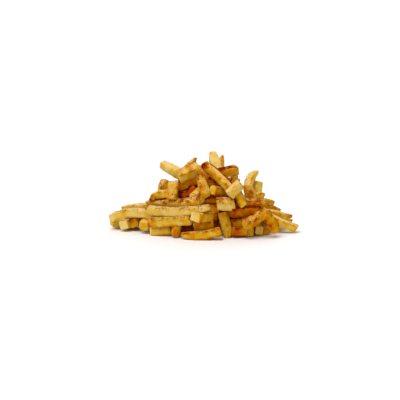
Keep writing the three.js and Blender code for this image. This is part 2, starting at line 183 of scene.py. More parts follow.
AT_THE_FOOT = [
    [-52, 7.5, -12, 10.5, 6, 0, 0, 9.5, 12, 1, 1, 0.28, 1.6],
    [-52, -1.2, -32, -0.2, 2, -10, 0, 9.2, 0, 1, 1, 0.25, 0, "pale start"],
    [1, 15, 15, 13, -12, -8, 0, 8, 0, 1, 1, 0.6, 0],
    [28, 6, 46, 7.5, -8, -6, 0, 9.5, 0, 1, 1, 0.5, 0.2],
    [29, -1.5, 44, -1, -6, -4, 0, 8.5, 0, 1, 1, 0.6, 0],
    [62.8, -2, 59.5, 5, 0, -30, 0, 8, 0, 1, 1, 0.54, 0],
    [46, -2, 40, 6, 2, -34, 0, 10, 0, 0.9, 1, 0.49, 0.1, "pale start"],
    [56, -1, 52, 6, 0, -34, 0, 9.3, 0, 0.95, 1, 0.49, 0.1, "pale start"],
    [59.5, 16.5, 40, 5.5, 0, 0, 1.5, 9.5, -28, 1, 1, 0.44, 0.8],
    [59, 15.5, 71, -2, 2, 2, 3, 9.5, 15, 1, 0.85, 0.47, 0.4],
    [13.5, 26, 30.8, 25.5, 6, 6, 0, 10.8, 25, 1, 1, 0.14, 0.9, "crease", "toasted top"],
    [-8, 12.6, 7, 13.4, 10, -12, 0, 9.8, 6, 1, 1, 0.38, 0, "pale start"],
    [-9, 3.8, 10, 5.2, 0, -4, 0, 10.5, 8, 1, 0.95, 0.5, 0.2],
    [-22, -4.8, 17.5, -1.2, 2, 2, -2.2, 8.6, 0, 0.4, 1, 0.38, 0.5],
    [-25.5, 5, -28, -6.5, 0, 2, 0, 7.5, 0, 0.9, 0.7, 0.44, 0.2],
    [19.8, 17, 25.2, -7.3, -4, -4, 0, 8.6, 12, 1, 0.6, 0.26, 2.2],
]
GROUPS = [
    IN_THE_HOLLOWS,
    ON_TOP,
    RIGHT_SHOULDER,
    LEFT_SHOULDER,
    IN_THE_MIDDLE,
    UNDER_THE_LONG_ONES,
    LONG_ON_THE_LEFT,
    AT_THE_FOOT,
]
ROWS = [row for group in GROUPS for row in group]
print(len(ROWS), "fries show from the front")

# %% [markdown]
# ## What a fry is, before it has a surface
#
# For laying it, a fry is a line from one end to the other with a little bow in it, and a row of balls as
# thick as the fry is there. Balls are quick to keep apart: two of them touch when their middles are as far
# apart as their radii add up to. The finished surface follows the same line and thickness later.

# %% The fry and its balls
TAPER = 0.35
TAPER_POWER = 0.7
BALLS_PER_SIDE = 1.8
BALL_INSET = 0.42
FEWEST_BALLS = 3


@dataclass
class Fry:
    """A bar with a bow in it: where it lies, how thick it is, and then its looks."""
    a: np.ndarray
    b: np.ndarray
    bow: np.ndarray
    side: float
    roll: float
    tips: tuple
    browned: float = 0.4
    dusted: float = 0.3
    burnt: tuple = ()
    out: np.ndarray = None

    def length(self):
        return float(np.linalg.norm(self.b - self.a))

    def girth(self, t):
        """What is left of the side at places from 0 to 1 along the fry."""
        near_one = np.minimum(1, t / TAPER) ** TAPER_POWER
        near_two = np.minimum(1, (1 - t) / TAPER) ** TAPER_POWER
        one = self.tips[0] + (1 - self.tips[0]) * near_one
        two = self.tips[1] + (1 - self.tips[1]) * near_two
        return np.minimum(one, two)

    def middle_line(self, t):
        t = np.asarray(t)[..., None]
        return self.a + (self.b - self.a) * t + self.bow * (4 * t * (1 - t))

    def balls(self):
        length = self.length()
        count = max(FEWEST_BALLS, math.floor(BALLS_PER_SIDE * length / self.side + 0.5))
        inset = BALL_INSET * self.side / length
        t = inset + (1 - 2 * inset) * np.arange(count) / (count - 1)
        return self.middle_line(t), 0.5 * self.side * self.girth(t)

    def move(self, direction, distance):
        self.a = self.a + direction * distance
        self.b = self.b + direction * distance


def shown_fry(row):
    """A fry made from one row of the layout."""
    x1, up1, x2, up2, proud1, proud2, bend, side, roll, tip1, tip2, browned, dusted, *burnt = row
    run = math.hypot(x2 - x1, up2 - up1)
    return Fry(
        a=in_view(x1, up1, mound_depth(x1, up1) - proud1),
        b=in_view(x2, up2, mound_depth(x2, up2) - proud2),
        bow=in_view(-(up2 - up1) / run * bend, (x2 - x1) / run * bend, 0),
        side=side,
        roll=math.radians(roll),
        tips=(tip1, tip2),
        browned=browned,
        dusted=dusted,
        burnt=tuple(burnt),
    )


shown = [shown_fry(row) for row in ROWS]
print("the longest shown fry is", round(max(fry.length() for fry in shown)), "mm long")

# %% [markdown]
# ## Let them settle against each other
#
# Laid as listed, some fries would pass through others. A physics simulation could part them, but it would
# also roll them out of place. Here each one only slides along the line of sight, so it keeps its place in the
# view, until no two overlap and none is below the table. Two fries press into each other a little.

# %% Slide the shown fries apart along the line of sight
PRESSED = 0.88
START_BEHIND = 3.0
CROSSING = 0.65
SETTLING_ROUNDS = 80
SETTLING_SHARE = 0.4


def meetings(one, two, direction, pressed):
    """For balls that can meet: how far ahead the second one lies, and how far apart they must be."""
    between = two[0][None] - one[0][:, None]
    ahead = between @ direction
    aside = (between**2).sum(axis=2) - ahead**2
    room = (pressed * (one[1][:, None] + two[1][None])) ** 2 - aside
    near = room > 0
    return ahead[near], np.sqrt(room[near])


def pairs_that_meet(rows):
    """Fries that can touch. The last number is 1 if the second stays behind, or -1 if in front."""
    pairs = []
    for i, one in enumerate(rows):
        for j in range(i + 1, len(rows)):
            ahead, apart = meetings(one, rows[j], INTO, PRESSED)
            if not len(ahead):
                continue
            crossing = apart.max() / (one[1].mean() + rows[j][1].mean())
            limit = START_BEHIND if crossing > CROSSING else 0.0
            pairs.append((i, j, ahead, apart, -1 if ahead.mean() < limit else 1))
    return pairs


def settle(fries):
    """Slides the fries along the line of sight until they clear each other."""
    rows = [fry.balls() for fry in fries]
    deepest = np.array([((at[:, 2] - radius) / math.sin(SIGHT)).min() for at, radius in rows])
    slide = np.minimum(0.0, deepest)
    pairs = pairs_that_meet(rows)
    for _ in range(SETTLING_ROUNDS):
        for i, j, ahead, apart, side in pairs:
            short = (apart - side * (ahead + slide[j] - slide[i])).max()
            if short > 0:
                slide[i] -= side * short * SETTLING_SHARE
                slide[j] += side * short * SETTLING_SHARE
        slide = np.minimum(slide, deepest)
    for fry, distance in zip(fries, slide):
        fry.move(INTO, distance)
    return np.abs(slide).mean()


print("the shown fries slid by", round(settle(shown), 1), "mm on average")

# %% [markdown]
# ## The fries behind
#
# The side that faces away is laid by a rule: a fry is put on a layer of the mound, flat against it and
# turned at random, and moved out until it clears what lies there. If that takes too far there is no room
# for it, and it is left out. The random numbers come from a small generator written out here, so that the
# heap is the same one every time.

# %% Lay the fries on the side that faces away
LOOSE_PRESSED = 0.78
LAYERS = [0.82, 1.0]
TRIES_PER_LAYER = 400
MOST_MOVED = 14.0
SUNK = 6.0
GOLDEN = (math.sqrt(5) - 1) / 2
BEHIND_FROM = math.radians(-25)
BEHIND_TURN = math.radians(230)
LOWEST_RISE = 0.04
RISE_POWER = 1.1
LOOSE_SWING = 1.1
LOOSE_LENGTH = (44.0, 68.0)
SHORTER = 0.45
LOOSE_SIDE = (7.5, 9.8)
LOOSE_ROLL = 45.0
LOOSE_BEND = 3.0
LOOSE_TIPS = (0.75, 0.5)
CLEAR = 0.05
LAYING_PASSES = 3
LAYING_SEED = 7


class Chance:
    """A linear congruential generator with the usual constants."""

    FACTOR = 1664525
    STEP = 1013904223
    RANGE = 2**32

    def __init__(self, state):
        self.state = state

    def __call__(self, low, high):
        self.state = (self.state * self.FACTOR + self.STEP) % self.RANGE
        return low + (high - low) * self.state / self.RANGE


def loose_fry(chance, layer, turn, height):
    """A fry that lies flat on a layer of the mound, turned at random."""
    around = BEHIND_FROM + BEHIND_TURN * turn
    rise = math.asin(LOWEST_RISE + (1 - LOWEST_RISE) * height**RISE_POWER)
    level_share = math.cos(rise)
    spot = np.array([math.cos(around) * level_share, math.sin(around) * level_share, math.sin(rise)])
    out = spot / BEHIND
    out = out / np.linalg.norm(out)
    level = np.array([-out[1], out[0], 0.0]) / math.hypot(out[0], out[1])
    steep = np.cross(out, level)
    swing = chance(-LOOSE_SWING, LOOSE_SWING)
    along = level * math.cos(swing) + steep * math.sin(swing)
    length = chance(*LOOSE_LENGTH) * (1 - SHORTER * height)
    side = chance(*LOOSE_SIDE)
    roll = math.radians(chance(-LOOSE_ROLL, LOOSE_ROLL))
    bend = chance(-LOOSE_BEND, LOOSE_BEND)
    tips = tuple(chance(least, 1) for least in LOOSE_TIPS)
    middle = spot * BEHIND * layer + MOUND_MID - out * (side / 2 + SUNK)
    a = middle - along * length / 2
    b = middle + along * length / 2
    return Fry(a, b, np.cross(along, out) * bend, side, roll, tips, out=out)


def lay_on(fry, laid, pressed):
    """Moves a fry out until it clears what is laid, and tells how far it moved."""
    moved = 0.0
    for _ in range(LAYING_PASSES):
        fry.a[2] = max(fry.a[2], fry.side / 2)
        fry.b[2] = max(fry.b[2], fry.side / 2)
        ahead, apart = meetings(fry.balls(), laid, fry.out, pressed)
        more = max(0.0, (ahead + apart).max()) if len(ahead) else 0.0
        if more < CLEAR:
            break
        moved += more
        fry.move(fry.out, more)
    return moved


def joined(rows):
    return np.vstack([at for at, _ in rows]), np.concatenate([radius for _, radius in rows])


# %% Keep them out of the front view's outline and of the places where one looks through the heap
SKYLINE_REACH = 5.0
BELOW_SKYLINE = 0.5
# Places that stay open: how far across and up they lie in the view, and how far they reach.
SEEN_THROUGH = np.array(
    [
        [-79, 11, 2.5],
        [-38, 54.5, 3.5],
        [-31, 53.5, 2],
        [22.5, 66, 3],
        [26, 52, 2.5],
        [39.5, 39, 2],
    ]
)


def shows_wrongly(fry, shown_balls):
    """Whether a fry stands above the front's outline, or where one looks through."""
    at, radius = fry.balls()
    tops, across = shown_balls[0] @ UP + shown_balls[1], shown_balls[0][:, 0]
    near = np.abs(at[:, :1] - across[None]) < SKYLINE_REACH
    skyline = np.where(near, tops[None], -np.inf).max(axis=1)
    over = at @ UP + radius > skyline - BELOW_SKYLINE
    aside = np.hypot(at[:, :1] - SEEN_THROUGH[None, :, 0], (at @ UP)[:, None] - SEEN_THROUGH[None, :, 1])
    return bool(over.any() or (aside < radius[:, None] + SEEN_THROUGH[None, :, 2]).any())


def lay_the_rest(shown):
    """Tries fries from the foot to the top, and keeps those that find room."""
    chance = Chance(LAYING_SEED)
    shown_balls = joined([fry.balls() for fry in shown])
    laid, rest = shown_balls, []
    for k in range(TRIES_PER_LAYER * len(LAYERS)):
        height = (k % TRIES_PER_LAYER) / TRIES_PER_LAYER
        fry = loose_fry(chance, LAYERS[k // TRIES_PER_LAYER], (k * GOLDEN) % 1, height)
        if lay_on(fry, laid, LOOSE_PRESSED) > MOST_MOVED or shows_wrongly(fry, shown_balls):
            continue
        laid = joined([laid, fry.balls()])
        rest.append(fry)
    return rest


loose = lay_the_rest(shown)
print(len(loose), "fries lie behind")

# %% [markdown]
# ## What one sees between them
#
# Through the gaps one sees more fries, not a smooth lump. So short pieces are laid close on the core, all
# round, wherever there is room for one without moving it far. They add next to nothing to the outline.

# %% Lay short pieces on the core
CORE_LAYER = 0.84
CORE_TRIES = 600
SHORT = 0.5
HARDLY_MOVED = 5.0
INNER_PRESSED = 0.5
COVER_SEED = 11
ALL_ROUND = 2 * math.pi / BEHIND_TURN


def cover_the_core(fries):
    """Short pieces, wherever one fits on the core almost without moving."""
    chance = Chance(COVER_SEED)
    laid = all_balls = joined([fry.balls() for fry in fries])
    cover = []
    for k in range(CORE_TRIES):
        fry = loose_fry(chance, CORE_LAYER, (k * GOLDEN) % 1 * ALL_ROUND, k / CORE_TRIES)
        middle, half = (fry.a + fry.b) / 2, (fry.b - fry.a) * SHORT / 2
        fry.a, fry.b = middle - half, middle + half
        if lay_on(fry, laid, INNER_PRESSED) > HARDLY_MOVED or shows_wrongly(fry, all_balls):
            continue
        laid = joined([laid, fry.balls()])
        cover.append(fry)
    return cover


inner = cover_the_core(shown + loose)
print(len(inner), "short pieces lie on the core")

# %% [markdown]
# ## The surface of a fry
#
# A fry is cut square and its faces sink a little between the edges as it dries in the oil, so the edges
# stand up, go crisp and brown first. A cube with a bevel would look like a toy brick. Here the skin is a
# grid of rings instead: each ring is a rounded square that follows the line of the fry, and every point is
# then moved in or out by noise, by ragged edges and by a few blisters. The same numbers tell how brown each
# point is, so colour and shape agree.

# %% The rings of one fry
RING_SIDE = [-1.0, -0.9, -0.68, -0.34, 0.0, 0.34, 0.68, 0.9]
RING = len(RING_SIDE) * 4
END_DISTANCES = np.array([0.0, 0.0, 0.0, 0.01, 0.035, 0.08, 0.16])
END_SHARES = np.array([0.3, 0.6, 0.86, 0.92, 0.965, 0.99, 1.0])
RING_STEP = 1.05
FEWEST_STEPS = 3


def ring_directions():
    """Unit directions round a ring, closest together at the four corners."""
    one_side = np.array([[1.0, s] for s in RING_SIDE])
    turned = [one_side]
    for _ in range(3):
        turned.append(np.stack([-turned[-1][:, 1], turned[-1][:, 0]], axis=1))
    points = np.vstack(turned)
    return points / np.linalg.norm(points, axis=1, keepdims=True)


DIRECTIONS = ring_directions()
# 1 in the middle of each of the four faces, 0 at the corners.
MID_FACE = (1 + np.cos(4 * np.arctan2(DIRECTIONS[:, 1], DIRECTIONS[:, 0]))) / 2


def ring_radii(crisp, sunken, trimmed, trimmed_toward):
    """How far out a ring of half side 1 is each way: square, with round corners, one perhaps trimmed."""
    square = (np.abs(DIRECTIONS) ** crisp).sum(axis=1) ** (-1 / crisp)
    facing = np.maximum(DIRECTIONS @ trimmed_toward, 0.01)
    return np.minimum(square * (1 - sunken * MID_FACE), trimmed / facing)


def ring_places(length, side):
    """How far along each ring is, and what share of the full size it has."""
    start = END_DISTANCES * side
    steps = max(FEWEST_STEPS, math.ceil((length - 2 * start[-1]) / RING_STEP))
    along = np.linspace(start[-1], length - start[-1], steps + 1)[1:-1]
    places = np.concatenate([start, along, length - start[::-1]])
    shares = np.concatenate([END_SHARES, np.ones(len(along)), END_SHARES[::-1]])
    return places, shares


def unit(vectors):
    return vectors / np.linalg.norm(vectors, axis=-1, keepdims=True)


def ring_frames(fry, t, twist):
    """The line of the fry at each ring, with the directions along, wide and tall."""
    along = unit(fry.b - fry.a + fry.bow * (4 - 8 * t[:, None]))
    straight = unit(fry.b - fry.a)
    level = unit(np.cross(straight, [0.0, 0.0, 1.0]))
    below = np.cross(straight, level)
    turn = fry.roll + twist * (t[:, None] - 0.5)
    wide = level * np.cos(turn) + below * np.sin(turn)
    wide = unit(wide - along * (wide * along).sum(axis=1, keepdims=True))
    return fry.middle_line(t), along, wide, np.cross(along, wide)


print("each ring has", RING, "points")

# %% The plain skin of one fry, as it was cut
TWIST = 0.35
TRIMMED = (0.95, 1.7)
CRISPNESS = (4.5, 9.5)
MOST_SUNKEN = 0.08
FLATTER = 0.09
EDGE_FROM, EDGE_FULL = 0.45, 0.85
WHOLE_FROM, WHOLE_FULL = 0.86, 0.97


def smooth(low, high, value):
    """0 up to low, 1 from high on, and a soft step between them."""
    x = np.clip((value - low) / (high - low), 0, 1)
    return x * x * (3 - 2 * x)


class Skin:
    """A grid with a row for each ring and a column for each direction round it."""

    def __init__(self, fry, dice):
        self.fry = fry
        self.length = fry.length()
        self.places, self.shares = ring_places(self.length, fry.side)
        t = self.places / self.length
        middle, self.along, wide, tall = ring_frames(fry, t, dice.uniform(-TWIST, TWIST))
        trimmed = dice.uniform(*TRIMMED)
        trimmed_toward = np.array([dice.choice([-1, 1]), dice.choice([-1, 1])]) / math.sqrt(2)
        crisp = dice.uniform(*CRISPNESS)
        radii = ring_radii(crisp, dice.uniform(0.0, MOST_SUNKEN), trimmed, trimmed_toward)
        flatter = dice.uniform(-FLATTER, FLATTER)
        x = DIRECTIONS[:, 0] * (1 + flatter)
        y = DIRECTIONS[:, 1] * (1 - flatter)
        self.outward = wide[:, None] * x[None, :, None] + tall[:, None] * y[None, :, None]
        half = 0.5 * fry.side * fry.girth(t) * self.shares
        self.reach = half[:, None] * radii[None]
        self.points = middle[:, None] + self.outward * self.reach[..., None]
        corner = (radii - radii.min()) / (radii.max() - radii.min())
        self.whole = smooth(WHOLE_FROM, WHOLE_FULL, self.shares)[:, None]
        self.edge = smooth(EDGE_FROM, EDGE_FULL, corner)[None] * self.whole


# %% [markdown]
# The relief on that grid has three scales. Broad noise makes the faces uneven, as a potato never dries
# evenly. Finer noise makes the edges ragged, where thin crust broke off. Blisters are round swellings where
# steam lifted the crust. All of it is real shape, so it also shows in the outline.

# %% Noise and blisters
BROAD, TOASTED, MIDDLING, FINE = 7.0, 4.0, 2.6, 1.2
BLISTERS_PER_MM = 0.1
BLISTER_SIZE = (0.9, 2.2)
BLISTER_LIFT = (0.4, 1.0)


def noise_at(points, size, shift):
    """Noise about 0 whose features are so many millimetres apart, at each point."""
    spots = points.reshape(-1, 3) / size + shift
    return np.array([noise.noise(Vector(spot)) for spot in spots]).reshape(points.shape[:-1])


def close_to(distance, reach):
    """1 at no distance, fading out softly beyond the reach."""
    return np.exp(-((distance / reach) ** 2))


def blisters(points, dice, length):
    """0 on plain skin, up to 1 on top of a blister."""
    flat = points.reshape(-1, 3)
    lift = np.zeros(len(flat))
    for _ in range(dice.poisson(BLISTERS_PER_MM * length)):
        middle = flat[dice.integers(len(flat))]
        size = dice.uniform(*BLISTER_SIZE)
        distance = np.linalg.norm(flat - middle, axis=1)
        lift = np.maximum(lift, close_to(distance, size) * dice.uniform(*BLISTER_LIFT))
    return lift.reshape(points.shape[:-1])


# %% Roughen the skin and lean its cuts
BROAD_HEIGHT, MIDDLING_HEIGHT, RAGGED_HEIGHT, BLISTER_HEIGHT = 0.05, 0.02, 0.055, 0.04
WORN = 0.4
SLANT = 0.28
SLANTED_UP_TO = 0.6
NOISE_SPACE = 100


def lean_the_cut(skin, distance, slant, way):
    """Tilts the cut at one end, as a knife does."""
    fades = np.clip(1 - distance / (SLANTED_UP_TO * skin.fry.side), 0, 1)
    lean = (DIRECTIONS @ slant)[None] * skin.reach * fades[:, None] * way
    skin.points = skin.points + skin.along[:, None] * lean[..., None]


def roughen(skin, dice):
    """Moves every point in or out, and keeps the noise, because the browning follows it."""
    skin.shift = dice.uniform(0, NOISE_SPACE, 3)
    skin.broad = noise_at(skin.points, BROAD, skin.shift)
    skin.middling = noise_at(skin.points, MIDDLING, skin.shift)
    fine = noise_at(skin.points, FINE, skin.shift)
    skin.lift = blisters(skin.points, dice, skin.length)
    relief = skin.broad * BROAD_HEIGHT + skin.middling * MIDDLING_HEIGHT + skin.lift * BLISTER_HEIGHT
    relief = relief - skin.edge * RAGGED_HEIGHT * (WORN + fine)
    skin.points = skin.points + skin.outward * (relief * skin.fry.side * skin.shares[:, None])[..., None]
    lean_the_cut(skin, skin.places, dice.uniform(-SLANT, SLANT, 2), 1)
    lean_the_cut(skin, skin.length - skin.places, dice.uniform(-SLANT, SLANT, 2), -1)


# %% [markdown]
# ## How brown it is
#
# What is thin dries out first and browns first: the edges, the ends and the tops of blisters. So a point is
# as brown as its fry, with a share added for each of those, and soft patches on top. A few spots are burnt
# dark. They are an end, the face that looks up, or one long edge, the crease where two faces meet. All this
# could be painted by hand, but worked out from the shape it follows every edge of a hundred fries by itself.

# %% What the oil has burnt
BURNT_REACH = 4.2
TOASTED_END = 0.55
TOP_FROM, TOP_FULL = 0.55, 0.8
TOPS = {"crisp top": 1.0, "toasted top": 0.5}
CREASE_FROM, CREASE_FULL = 0.85, 0.97
CREASES = {"crease": UP - INTO, "top crease": UP, "back crease": UP + INTO}


def burnt_share(skin):
    """How much of the burning each point gets, from 0 to 1."""
    words = skin.fry.burnt
    share = np.zeros(skin.edge.shape)
    if "burnt start" in words:
        share = np.maximum(share, close_to(skin.places, BURNT_REACH)[:, None])
    if "toasted end" in words:
        share = np.maximum(share, TOASTED_END * close_to(skin.length - skin.places, BURNT_REACH)[:, None])
    for word, most in TOPS.items():
        if word in words:
            share = np.maximum(share, most * smooth(TOP_FROM, TOP_FULL, skin.outward[..., 2]))
    for word, way in CREASES.items():
        if word in words:
            facing = skin.outward @ way
            facing = facing / facing.max(axis=1, keepdims=True)
            share = np.maximum(share, skin.edge * smooth(CREASE_FROM, CREASE_FULL, facing))
    return share


# %% The browning of every point
BROWN_EDGE, BROWN_END, BROWN_PATCH, BROWN_BLISTER = 0.22, 0.05, 0.26, 0.1
END_REACH = 0.3
END_PATCHY = 2
TOASTED_MEAN, TOASTED_SWING, MOST_TOASTED = 0.5, 2.2, 1.6
OTHER_NOISE = 50
BURNT = 0.85
BURNT_MEAN, BURNT_SWING = 0.75, 1.5
PALER_BY = 0.3
PALER_REACH = 1.6


def browning_of(skin):
    """About 0 where the potato is pale, 1 where it is burnt."""
    fry, places = skin.fry, skin.places
    to_the_end = np.minimum(places, skin.length - places)
    ends = close_to(to_the_end, END_REACH * fry.side)[:, None] * skin.whole
    patchy = noise_at(skin.points, TOASTED, skin.shift + OTHER_NOISE)
    toasted = np.clip(TOASTED_MEAN + TOASTED_SWING * patchy, 0, MOST_TOASTED)
    brown = fry.browned + skin.edge * BROWN_EDGE * toasted
    brown = brown + ends * BROWN_END * (1 + END_PATCHY * skin.broad)
    brown = brown + skin.broad * BROWN_PATCH + skin.lift * BROWN_BLISTER
    crust = np.clip(BURNT_MEAN + BURNT_SWING * skin.middling, 0, 1)
    brown = brown + burnt_share(skin) * BURNT * crust
    # Some fries are made paler near their start end.
    if "pale start" in fry.burnt:
        brown = brown - PALER_BY * close_to(places, PALER_REACH)[:, None]
    return brown


# %% The faces between the rings
def skin_faces(rings, first):
    """Four-sided faces between the rings, and one face that closes each end."""
    ring, step = np.meshgrid(np.arange(rings - 1), np.arange(RING), indexing="ij")
    following = (step + 1) % RING
    corners = [ring * RING + step, ring * RING + following]
    corners += [(ring + 1) * RING + following, (ring + 1) * RING + step]
    sides = first + np.stack(corners, axis=-1).reshape(-1, 4)
    near_end = first + np.arange(RING)[::-1]
    far_end = first + (rings - 1) * RING + np.arange(RING)
    return sides.tolist() + [near_end.tolist(), far_end.tolist()]


# %% [markdown]
# ## Joining the fries, one mesh for each kind
#
# Over a hundred separate objects would be slow to handle, so fries that are fried alike become one mesh:
# pale, golden and browned. Each point carries two numbers of its own as attributes. "browning" is worked
# out above. "dusting" says how much seasoning lies there, and that depends on which way the skin faces, so
# it is read from the finished mesh: seasoning is shaken from above and stays on what looks up.

# %% Make a mesh from several fries
DUST_FROM, DUST_FULL = 0.2, 0.75
ON_THE_SIDES = 0.2


def new_piece(name, points, faces):
    """An object in the scene, from points in metres and the points of each face."""
    mesh = bpy.data.meshes.new(name)
    mesh.from_pydata(points, [], faces)
    mesh.update()
    piece = bpy.data.objects.new(name, mesh)
    bpy.context.scene.collection.objects.link(piece)
    return piece


def add_number(mesh, name, values):
    mesh.attributes.new(name, "FLOAT", "POINT").data.foreach_set("value", values.astype(np.float32))


def looking_up(mesh):
    """1 at the points whose skin looks up, 0 where it looks aside or down."""
    normals = np.empty(len(mesh.vertices) * 3, dtype=np.float32)
    mesh.vertex_normals.foreach_get("vector", normals)
    return smooth(DUST_FROM, DUST_FULL, normals.reshape(-1, 3)[:, 2])


def fries_mesh(name, fries, dice):
    """One piece made of all the fries of a kind."""
    points, brown, dusted, faces, first = [], [], [], [], 0
    for fry in fries:
        skin = Skin(fry, dice)
        roughen(skin, dice)
        faces += skin_faces(len(skin.points), first)
        points.append(skin.points.reshape(-1, 3))
        brown.append(browning_of(skin).ravel())
        dusted.append(np.full(len(points[-1]), fry.dusted))
        first += len(points[-1])
    placed = np.vstack(points)
    placed[:, 2] = np.maximum(placed[:, 2], 0.0)
    piece = new_piece(name, (placed * MM).tolist(), faces)
    piece.data.shade_smooth()
    held = ON_THE_SIDES + (1 - ON_THE_SIDES) * looking_up(piece.data)
    add_number(piece.data, "browning", np.concatenate(brown))
    add_number(piece.data, "dusting", np.concatenate(dusted) * held)
    print(name, "has", len(fries), "fries and", len(piece.data.polygons), "faces")
    return piece


# %% Give the loose fries their looks and sort all by how they are fried
FRYING_SEED = 12
BROWNED_MEAN, BROWNED_SPREAD = 0.38, 0.14
LEAST_BROWNED, MOST_BROWNED = 0.1, 0.75
DUSTINGS = [0.1, 0.4, 0.9]
INNER_BROWNED = (0.4, 0.7)
INNER_DUSTED = 0.2
PALE_UP_TO, GOLDEN_UP_TO = 0.24, 0.5

dice = np.random.default_rng(FRYING_SEED)
for fry in loose:
    fry.browned = float(np.clip(dice.normal(BROWNED_MEAN, BROWNED_SPREAD), LEAST_BROWNED, MOST_BROWNED))
    fry.dusted = float(dice.choice(DUSTINGS))
for fry in inner:
    fry.browned = float(dice.uniform(*INNER_BROWNED))
    fry.dusted = INNER_DUSTED

kinds = {"fries_pale": [], "fries_golden": [], "fries_browned": []}
for fry in shown + loose + inner:
    if fry.browned < PALE_UP_TO:
        kinds["fries_pale"].append(fry)
    elif fry.browned < GOLDEN_UP_TO:
        kinds["fries_golden"].append(fry)
    else:
        kinds["fries_browned"].append(fry)

pieces = {name: fries_mesh(name, fries, dice) for name, fries in kinds.items()}

# %% [markdown]
# ## The inside of the heap
#
# Between the fries one looks into the dark of the heap. A hollow heap would let light through from behind,
# so a rough lump of the same potato fills the middle. It lies in real shade, and it is also browned darker
# than the fries as painted shade of the hollows.

# %% The core
CORE_ROUGH = 2.5
CORE_BUMPS = 9.0
# Browned darker than the fries around it: painted shade for the hollows of the heap.
CORE_BROWNED_AND_SHADED = 0.75

bpy.ops.mesh.primitive_ico_sphere_add(subdivisions=5, radius=1)
core = bpy.context.object
core.name = core.data.name = "heap_core"
for vertex in core.data.vertices:
    outward = np.array(vertex.co)
    place = outward * BEHIND * CORE_SHARE
    place = place + outward * noise.noise(Vector(place / CORE_BUMPS)) * CORE_ROUGH
    place[2] = max(place[2], 0.0)
    vertex.co = Vector((place + MOUND_MID) * MM)
core.data.update()
core.data.shade_smooth()
add_number(core.data, "browning", np.full(len(core.data.vertices), CORE_BROWNED_AND_SHADED))
add_number(core.data, "dusting", np.zeros(len(core.data.vertices)))
print(core.name, "has", len(core.data.polygons), "triangles")

# %% [markdown]
# ## Fried potato
#
# The colour of a fry is a scale: cream where it has only dried, yellow, gold, brown, and dark red-brown
# where it has burnt. One colour ramp holds that scale, and the browning of each point, with fine noise
# added, picks the place on it. A picture of a real fry could be wrapped round them instead, but the same
# spots would come back on every fry. Under the crust the potato is moist and lets light in, which the
# subsurface of the Principled shader gives, and a film of oil makes it gleam here and there.
# The faces that look up are painted paler as well: partly a bloom of salt, partly painted sheen of the light
# from above.

# %% Colours
CREAM = "#e8cc7c"
YELLOW = "#deb22a"
GOLD = "#d08c04"
BROWN = "#b05202"
DARK_BROWN = "#8a2802"
BURNT_RED = "#6e1a02"
# The pale colour painted on the tops: partly a bloom of salt, partly painted sheen of the light from above.
SALT_AND_SHEEN_COLOUR = "#edca8c"
PAPRIKA = "#983006"
PEPPER = "#54290a"
SCALE = [(0.0, CREAM), (0.28, YELLOW), (0.48, GOLD), (0.72, BROWN), (0.9, DARK_BROWN), (1.0, BURNT_RED)]


def colour(code):
    """A hex code as a linear colour, the way that Blender's sockets want it."""
    parts = [int(code[i : i + 2], 16) / 255 for i in (1, 3, 5)]
    linear = [p / 12.92 if p <= 0.04045 else ((p + 0.055) / 1.055) ** 2.4 for p in parts]
    return (*linear, 1.0)


print("cream is", [round(part, 2) for part in colour(CREAM)], "in linear colour")

# %% Small helpers for nodes
# The sockets of a Mix node that mix colours, by their number.
MIX_SHARE, MIX_ONE, MIX_TWO, MIX_RESULT = 0, 6, 7, 2


def feed(tree, socket, value):
    """Links an output to a socket, or sets the socket to a constant."""
    if isinstance(value, bpy.types.NodeSocket):
        tree.links.new(value, socket)
    else:
        socket.default_value = value


def add_node(tree, kind, inputs=(), **settings):
    node = tree.nodes.new(kind)
    for name, value in settings.items():
        setattr(node, name, value)
    for name, value in dict(inputs).items():
        feed(tree, node.inputs[name], value)
    return node


def maths(tree, operation, one, two, clamp=False):
    node = add_node(tree, "ShaderNodeMath", {0: one, 1: two}, operation=operation, use_clamp=clamp)
    return node.outputs[0]


def product(tree, first, *others):
    for other in others:
        first = maths(tree, "MULTIPLY", first, other)
    return first


def mapped(tree, value, low, high, to_low=0.0, to_high=1.0):
    """Takes the range from low to high to another range, and stops at its ends."""
    inputs = {"Value": value, "From Min": low, "From Max": high, "To Min": to_low, "To Max": to_high}
    return add_node(tree, "ShaderNodeMapRange", inputs).outputs[0]


def mixed(tree, share, one, two):
    """One colour with a share of a second one."""
    inputs = {MIX_SHARE: share, MIX_ONE: one, MIX_TWO: two}
    return add_node(tree, "ShaderNodeMix", inputs, data_type="RGBA").outputs[MIX_RESULT]


def noise_texture(tree, where, size, detail):
    """Noise whose features are so many millimetres apart, from 0 to 1."""
    inputs = {"Vector": where, "Scale": 1 / (size * MM), "Detail": detail}
    return add_node(tree, "ShaderNodeTexNoise", inputs).outputs["Fac"]


def own_number(tree, name):
    """A number that each point of the mesh carries."""
    return add_node(tree, "ShaderNodeAttribute", attribute_name=name).outputs["Fac"]


def new_finish(name):
    """A new material, with its nodes and its shader."""
    material = bpy.data.materials.new(name)
    material.use_nodes = True
    return material, material.node_tree, material.node_tree.nodes["Principled BSDF"]


# %% The colour of fried potato
UNEVEN = 0.35
# Points that look up are painted paler, most on the paler fries: partly a bloom of salt, partly painted sheen
# of the light from above.
NO_SALT_OR_SHEEN_ABOVE, ALL_SALT_AND_SHEEN_BELOW = 0.62, 0.3
UPWARD_FROM = 0.3
SALT_AND_SHEEN_SHARE = 0.5
CLUMPS_FROM, CLUMPS_FULL = 0.44, 0.62
POWDER = 0.55


def browning_scale(tree, browning):
    ramp = add_node(tree, "ShaderNodeValToRGB", {"Fac": browning})
    stops = ramp.color_ramp.elements
    while len(stops) < len(SCALE):
        stops.new(0.5)
    for stop, (position, code) in zip(stops, SCALE):
        stop.position = position
        stop.color = colour(code)
    return ramp.outputs["Color"]


